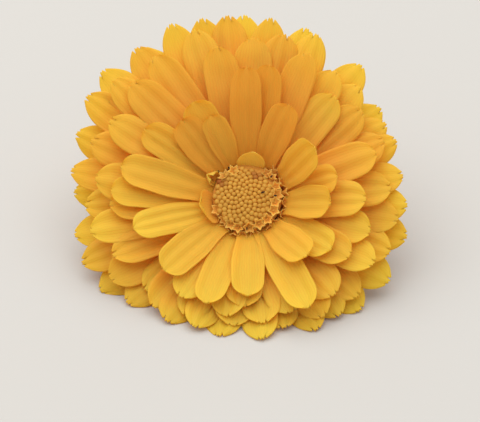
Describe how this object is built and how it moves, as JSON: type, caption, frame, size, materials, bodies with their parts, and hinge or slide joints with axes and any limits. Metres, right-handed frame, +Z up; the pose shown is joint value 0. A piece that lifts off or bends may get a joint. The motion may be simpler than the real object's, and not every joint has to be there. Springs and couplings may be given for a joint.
{
  "type": "double pot marigold flower head",
  "caption": "Yellow double pot marigold (calendula) flower head with layered strap-shaped ray florets round a domed orange disc, picked with a short stem, resting leaned back.",
  "frame": {"origin": "on the surface the head lies on, below the middle of its bounding box", "axes": "+X to the right seen from the front, across the head's greatest breadth; +Z up; the bloom faces -Y and up, leaning back"},
  "size_m": [0.0692, 0.062, 0.0415],
  "materials": {
    "stem": "ribbed, downy fresh green stalk",
    "bracts": "soft downy green leaf skin",
    "ray_petals": "satin, finely veined, slightly translucent yellow petal, orange towards its root",
    "disc": "matte to waxy orange florets and buds"
  },
  "bodies": {
    "root": {"stem": "stem", "involucre": "bracts", "ray_florets": "ray_petals", "disc_florets": "disc"}
  },
  "joints": []
}
